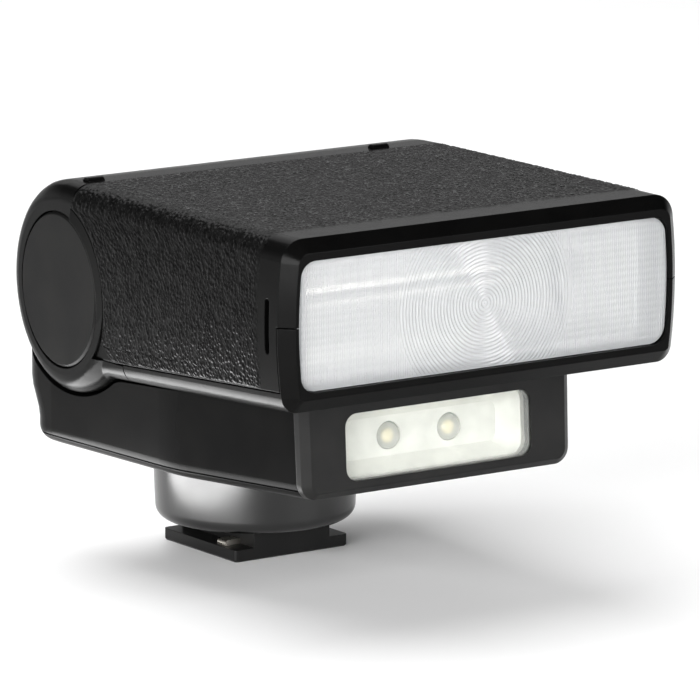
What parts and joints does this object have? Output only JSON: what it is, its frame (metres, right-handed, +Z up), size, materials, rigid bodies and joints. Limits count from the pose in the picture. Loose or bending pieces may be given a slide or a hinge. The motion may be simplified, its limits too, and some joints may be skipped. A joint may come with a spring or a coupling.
{
  "type": "speedlight flash",
  "caption": "Compact shoe-mount camera flash with a tilting box head, ribbed flash window, side hinge caps and a small video light in the base.",
  "frame": {"origin": "centre of the shoe foot's underside", "axes": "+Z up out of the shoe, -Y the way the flash window faces, +X across the head along the tilt axis"},
  "size_m": [0.0638, 0.0693, 0.0538],
  "materials": {
    "satin_black": "fine satin texture",
    "grained_black": "moulded leather grain",
    "cap_grey": "fine matte texture",
    "neck_black": "smooth semi-gloss",
    "foot_black": "satin black coating",
    "contact_plastic": "matte",
    "gold_contact": "polished",
    "spring_steel": "brushed",
    "screw_steel": "darkened steel",
    "hinge_metal": "black coated",
    "shaft_steel": "ground",
    "washer_brass": "plain",
    "lens_clear": "ribbed clear",
    "led_window_clear": "ribbed clear",
    "reflector_silver": "polished metal",
    "tube_glass": "clear",
    "boot_rubber": "pale silicone",
    "carrier_black": "matte",
    "tray_white": "satin white",
    "led_phosphor": "clear dome over phosphor",
    "circuit_board": "solder mask",
    "chip_black": "moulded",
    "capacitor_sleeve": "shrink sleeve",
    "ferrite": "sintered",
    "copper_winding": "enamelled wire",
    "battery_wrap": "film wrap",
    "door_black": "fine satin texture",
    "panel_black": "satin overlay",
    "button_black": "matte",
    "test_button_amber": "translucent",
    "dome_metal": "stamped",
    "socket_metal": "plated",
    "lamp_clear": "clear",
    "bumper_black": "satin"
  },
  "bodies": {
    "base": {"base_housing": "satin_black", "bottom_cover": "satin_black", "front_panel": "satin_black", "neck_collar": "neck_black", "shoe_foot": "foot_black", "contact_block": "contact_plastic", "contact_pins": "gold_contact", "battery_contacts": "gold_contact", "ground_spring": "spring_steel", "spring_washers": "spring_steel", "foot_screws": "screw_steel", "bottom_screws": "screw_steel", "hinge_nuts": "screw_steel", "hinge_bracket": "hinge_metal", "hinge_shaft": "shaft_steel", "friction_washers": "washer_brass", "led_window": "led_window_clear", "contact_carrier": "carrier_black", "led_reflector": "tray_white", "led_emitters": "led_phosphor", "led_board": "circuit_board", "control_board": "circuit_board", "battery_pack": "battery_wrap", "rear_panel": "panel_black", "dome_switches": "dome_metal", "slide_contact": "dome_metal", "charge_socket": "socket_metal", "indicator_lenses": "lamp_clear"},
    "head": {"head_upper_cover": "grained_black", "head_lower_shell": "satin_black", "head_rear_cover": "satin_black", "hinge_cap_left": "cap_grey", "hinge_cap_right": "cap_grey", "hinge_cheek_left": "hinge_metal", "hinge_cheek_right": "hinge_metal", "flash_lens": "lens_clear", "flash_reflector": "reflector_silver", "flash_tube": "tube_glass", "tube_boots": "boot_rubber", "reflector_carrier": "carrier_black", "main_capacitor": "capacitor_sleeve", "transformer_core": "ferrite", "transformer_winding": "copper_winding", "trigger_coil": "copper_winding", "head_board": "circuit_board", "board_components": "chip_black", "head_screws": "screw_steel", "top_bumpers": "bumper_black"},
    "battery_door": {"battery_door": "door_black"},
    "power_switch": {"power_switch": "button_black"},
    "test_button": {"test_button": "test_button_amber"},
    "mode_button": {"mode_button": "button_black"},
    "plus_button": {"plus_button": "button_black"},
    "minus_button": {"minus_button": "button_black"}
  },
  "joints": [
    {"name": "head_tilt", "type": "hinge", "parent": "base", "child": "head", "pos_m": [0, 0.0008, 0.0389], "axis": [-1, 0, 0], "range_deg": [0, 90]},
    {"name": "battery_door_hinge", "type": "hinge", "parent": "base", "child": "battery_door", "pos_m": [0, -0.0357, 0.0177], "axis": [-1, 0, 0], "range_deg": [0, 95]},
    {"name": "power_switch_slide", "type": "slide", "parent": "base", "child": "power_switch", "axis": [1, 0, 0], "range_m": [0, 0.003]},
    {"name": "test_button_press", "type": "slide", "parent": "base", "child": "test_button", "axis": [0, -1, 0], "range_m": [0, 0.0005], "stiffness_N_per_m": 800},
    {"name": "mode_button_press", "type": "slide", "parent": "base", "child": "mode_button", "axis": [0, -1, 0], "range_m": [0, 0.0005], "stiffness_N_per_m": 800},
    {"name": "minus_button_press", "type": "slide", "parent": "base", "child": "minus_button", "axis": [0, -1, 0], "range_m": [0, 0.0005], "stiffness_N_per_m": 800},
    {"name": "plus_button_press", "type": "slide", "parent": "base", "child": "plus_button", "axis": [0, -1, 0], "range_m": [0, 0.0005], "stiffness_N_per_m": 800}
  ]
}
